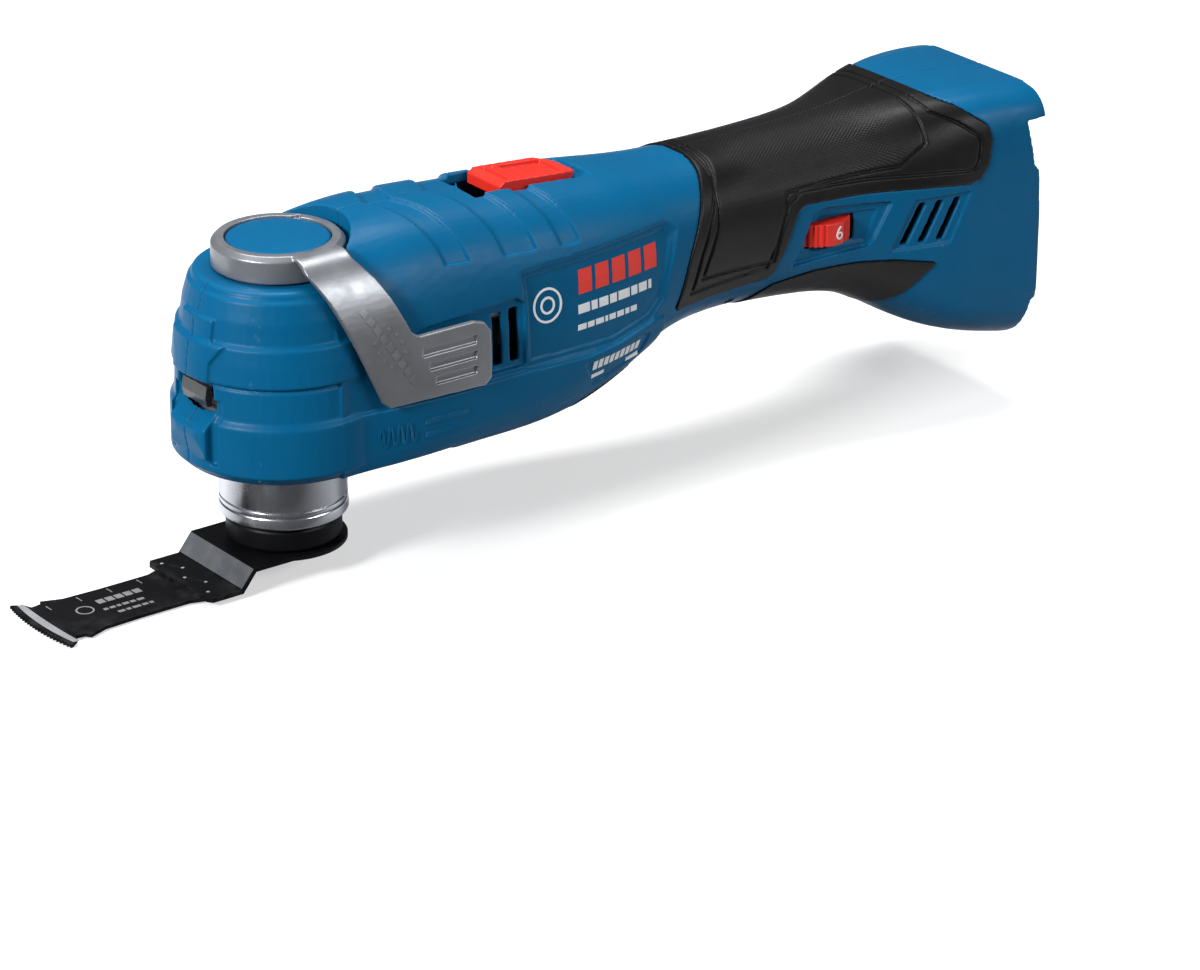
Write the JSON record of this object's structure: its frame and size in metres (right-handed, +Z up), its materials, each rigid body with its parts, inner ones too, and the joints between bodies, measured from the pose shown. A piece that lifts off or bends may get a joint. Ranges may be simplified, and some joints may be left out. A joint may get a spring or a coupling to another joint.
{
  "type": "oscillating multi tool",
  "caption": "Cordless oscillating multi tool with a lever-released plunge-cut saw blade, slide switch, speed dial, soft grip and an open battery foot.",
  "frame": {"origin": "where the spindle axis meets the top plane of the saw blade's mounting plate", "axes": "+Z up along the spindle axis, +X from the spindle towards the battery foot, -Y the side with the lever arm and the speed dial"},
  "size_m": [0.3431, 0.0665, 0.102],
  "materials": {
    "blue_housing": "fine moulded grain",
    "black_rubber": "matte",
    "zinc_lever": "satin die casting",
    "collar_steel": "turned",
    "cast_aluminium": "as cast",
    "steel": "ground",
    "black_steel": "black oxide",
    "copper": "enamelled copper",
    "black_plastic": "matte",
    "board": "solder mask",
    "lens": "clear",
    "red_plastic": "fine moulded grain"
  },
  "bodies": {
    "chassis": {"housing_left": "blue_housing", "housing_right": "blue_housing", "housing_screws": "steel", "grip_left": "black_rubber", "grip_right": "black_rubber", "lower_grip_left": "black_rubber", "lower_grip_right": "black_rubber", "belly_pad": "black_rubber", "top_cap": "blue_housing", "gear_housing": "cast_aluminium", "gearbox_screws": "steel", "neck_collar": "collar_steel", "collar_ring": "collar_steel", "dust_seal": "black_rubber", "spindle_bearing_outer": "steel", "spindle_bearing_balls": "steel", "needle_bush": "steel", "motor_stator": "steel", "motor_windings": "copper", "motor_front_shield": "black_plastic", "motor_rear_shield": "black_plastic", "motor_bearing_outers": "steel", "motor_bearing_balls": "steel", "sensor_board": "board", "vibration_dampers": "black_rubber", "control_board": "board", "power_capacitor": "steel", "switch_module": "black_plastic", "potentiometer": "black_plastic", "led_board": "board", "led_lens": "lens", "terminal_block": "black_plastic", "contact_blades": "copper", "power_wires": "black_plastic", "motor_wires": "black_plastic"},
    "output": {"spindle": "steel", "spindle_bearing_inner": "steel", "tool_holder": "black_steel", "drive_fork": "steel", "blade_carrier": "black_steel", "saw_blade": "black_steel", "clamp_spring": "steel"},
    "clamp": {"clamp_rod": "steel", "clamp_jaws": "steel"},
    "lever": {"release_lever": "zinc_lever", "release_cam": "steel"},
    "plunger": {"release_plunger": "steel"},
    "rotor": {"rotor_shaft": "steel", "counterweight": "steel", "rotor_core": "steel", "rotor_magnets": "black_steel", "fan": "black_plastic", "motor_bearing_inners": "steel", "eccentric_bearing_outer": "steel", "eccentric_bearing_inner": "steel", "eccentric_bearing_balls": "steel"},
    "switch": {"switch_button": "red_plastic", "switch_link_rod": "black_plastic", "switch_slider": "black_plastic"},
    "dial": {"speed_dial": "red_plastic"}
  },
  "joints": [
    {"name": "blade_swing", "type": "hinge", "parent": "chassis", "child": "output", "pos_m": [0, 0, 0], "axis": [0, 0, 1], "range_deg": [-1.7, 1.7]},
    {"name": "motor_spin", "type": "hinge", "parent": "chassis", "child": "rotor", "pos_m": [0.064, 0, 0.056], "axis": [1, 0, 0], "continuous": true},
    {"name": "lever_turn", "type": "hinge", "parent": "chassis", "child": "lever", "pos_m": [0, 0, 0.0868], "axis": [0, 0, 1], "range_deg": [-100, 0]},
    {"name": "plunger_press", "type": "slide", "parent": "chassis", "child": "plunger", "axis": [0, 0, -1], "range_m": [0, 0.002]},
    {"name": "clamp_release", "type": "slide", "parent": "output", "child": "clamp", "axis": [0, 0, -1], "range_m": [0, 0.002], "deforming": ["clamp_spring"]},
    {"name": "switch_slide", "type": "slide", "parent": "chassis", "child": "switch", "axis": [-1, 0, 0], "range_m": [0, 0.008]},
    {"name": "dial_turn", "type": "hinge", "parent": "chassis", "child": "dial", "pos_m": [0.1835, -0.0134, 0.057], "axis": [0, 0, 1], "range_deg": [-270, 0]}
  ],
  "couplings": [
    {"joint": "plunger_press", "follows": "lever_turn", "m_per_rad": -0.0011459},
    {"joint": "clamp_release", "follows": "lever_turn", "m_per_rad": -0.0011459}
  ]
}
